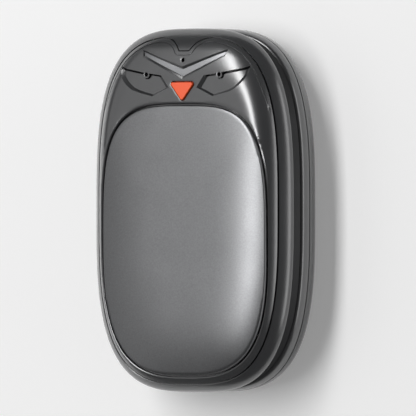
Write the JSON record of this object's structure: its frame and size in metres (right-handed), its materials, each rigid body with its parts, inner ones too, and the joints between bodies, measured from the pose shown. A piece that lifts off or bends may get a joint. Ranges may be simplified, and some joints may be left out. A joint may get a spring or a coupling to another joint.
{
  "type": "rechargeable hand warmer",
  "caption": "Oblong palm-sized rechargeable hand warmer with crowned metal heating plates, a finger waist and a bird face whose beak is the power button.",
  "frame": {"origin": "bottom centre of the body, on the rear plate's flat middle plane", "axes": "+X across the width, +Y along the length to the head end, +Z out of the front heating plate"},
  "size_m": [0.0654, 0.105, 0.027],
  "materials": {
    "casing_plastic": "fine satin moulding",
    "frame_plastic": "satin moulding",
    "heating_plate": "fine blasted and anodised",
    "brow_metal": "satin",
    "beak_plastic": "satin orange moulding",
    "clear_plastic": "clear",
    "circuit_board": "solder mask",
    "chip_plastic": "moulded",
    "lamp_body": "phosphor",
    "pale_plastic": "moulded",
    "screw_steel": "zinc plated",
    "nickel": "rolled strip",
    "cell_wrap": "shrink film",
    "cradle_plastic": "moulded",
    "heater_film": "amber film",
    "foam": "closed-cell foam",
    "red_wire": "silicone",
    "black_wire": "silicone",
    "ribbon_cable": "film"
  },
  "bodies": {
    "case": {"front_cover": "casing_plastic", "brow_trim": "brow_metal", "front_frame": "frame_plastic", "middle_housing": "casing_plastic", "rear_cover": "casing_plastic", "front_heat_plate": "heating_plate", "rear_heat_plate": "heating_plate", "front_heater_film": "heater_film", "rear_heater_film": "heater_film", "front_foam_pad": "foam", "rear_foam_pad": "foam", "front_thermistor": "chip_plastic", "rear_thermistor": "chip_plastic", "tact_switch_body": "chip_plastic", "light_pipe_left_eye": "clear_plastic", "light_pipe_right_eye": "clear_plastic", "light_pipe_forehead": "clear_plastic", "status_lamp_left_eye": "lamp_body", "status_lamp_right_eye": "lamp_body", "status_lamp_forehead": "lamp_body", "main_board": "circuit_board", "control_chip": "chip_plastic", "power_inductor": "cradle_plastic", "battery_socket": "pale_plastic", "charge_board": "circuit_board", "usb_c_socket": "screw_steel", "usb_c_tongue": "chip_plastic", "charge_chip": "chip_plastic", "battery_cell_left": "cell_wrap", "battery_cell_right": "cell_wrap", "battery_cradle": "cradle_plastic", "nickel_strip_head": "nickel", "nickel_strip_foot": "nickel", "thermal_fuse": "pale_plastic", "battery_lead_red": "red_wire", "battery_lead_black": "black_wire", "board_link_ribbon": "ribbon_cable", "case_screw_1": "screw_steel", "case_screw_2": "screw_steel", "case_screw_3": "screw_steel", "case_screw_4": "screw_steel", "case_screw_5": "screw_steel", "case_screw_6": "screw_steel", "board_screw_1": "screw_steel", "board_screw_2": "screw_steel", "board_screw_3": "screw_steel", "charge_board_screw_1": "screw_steel", "charge_board_screw_2": "screw_steel"},
    "beak": {"beak_button": "beak_plastic"},
    "plunger": {"tact_plunger": "pale_plastic"}
  },
  "joints": [
    {"name": "beak_press", "type": "slide", "parent": "case", "child": "beak", "axis": [0, 0, -1], "range_m": [0, 0.0004], "stiffness_N_per_m": 1500},
    {"name": "plunger_press", "type": "slide", "parent": "case", "child": "plunger", "axis": [0, 0, -1], "range_m": [0, 0.0004]}
  ],
  "couplings": [
    {"joint": "plunger_press", "follows": "beak_press", "ratio": 1}
  ]
}
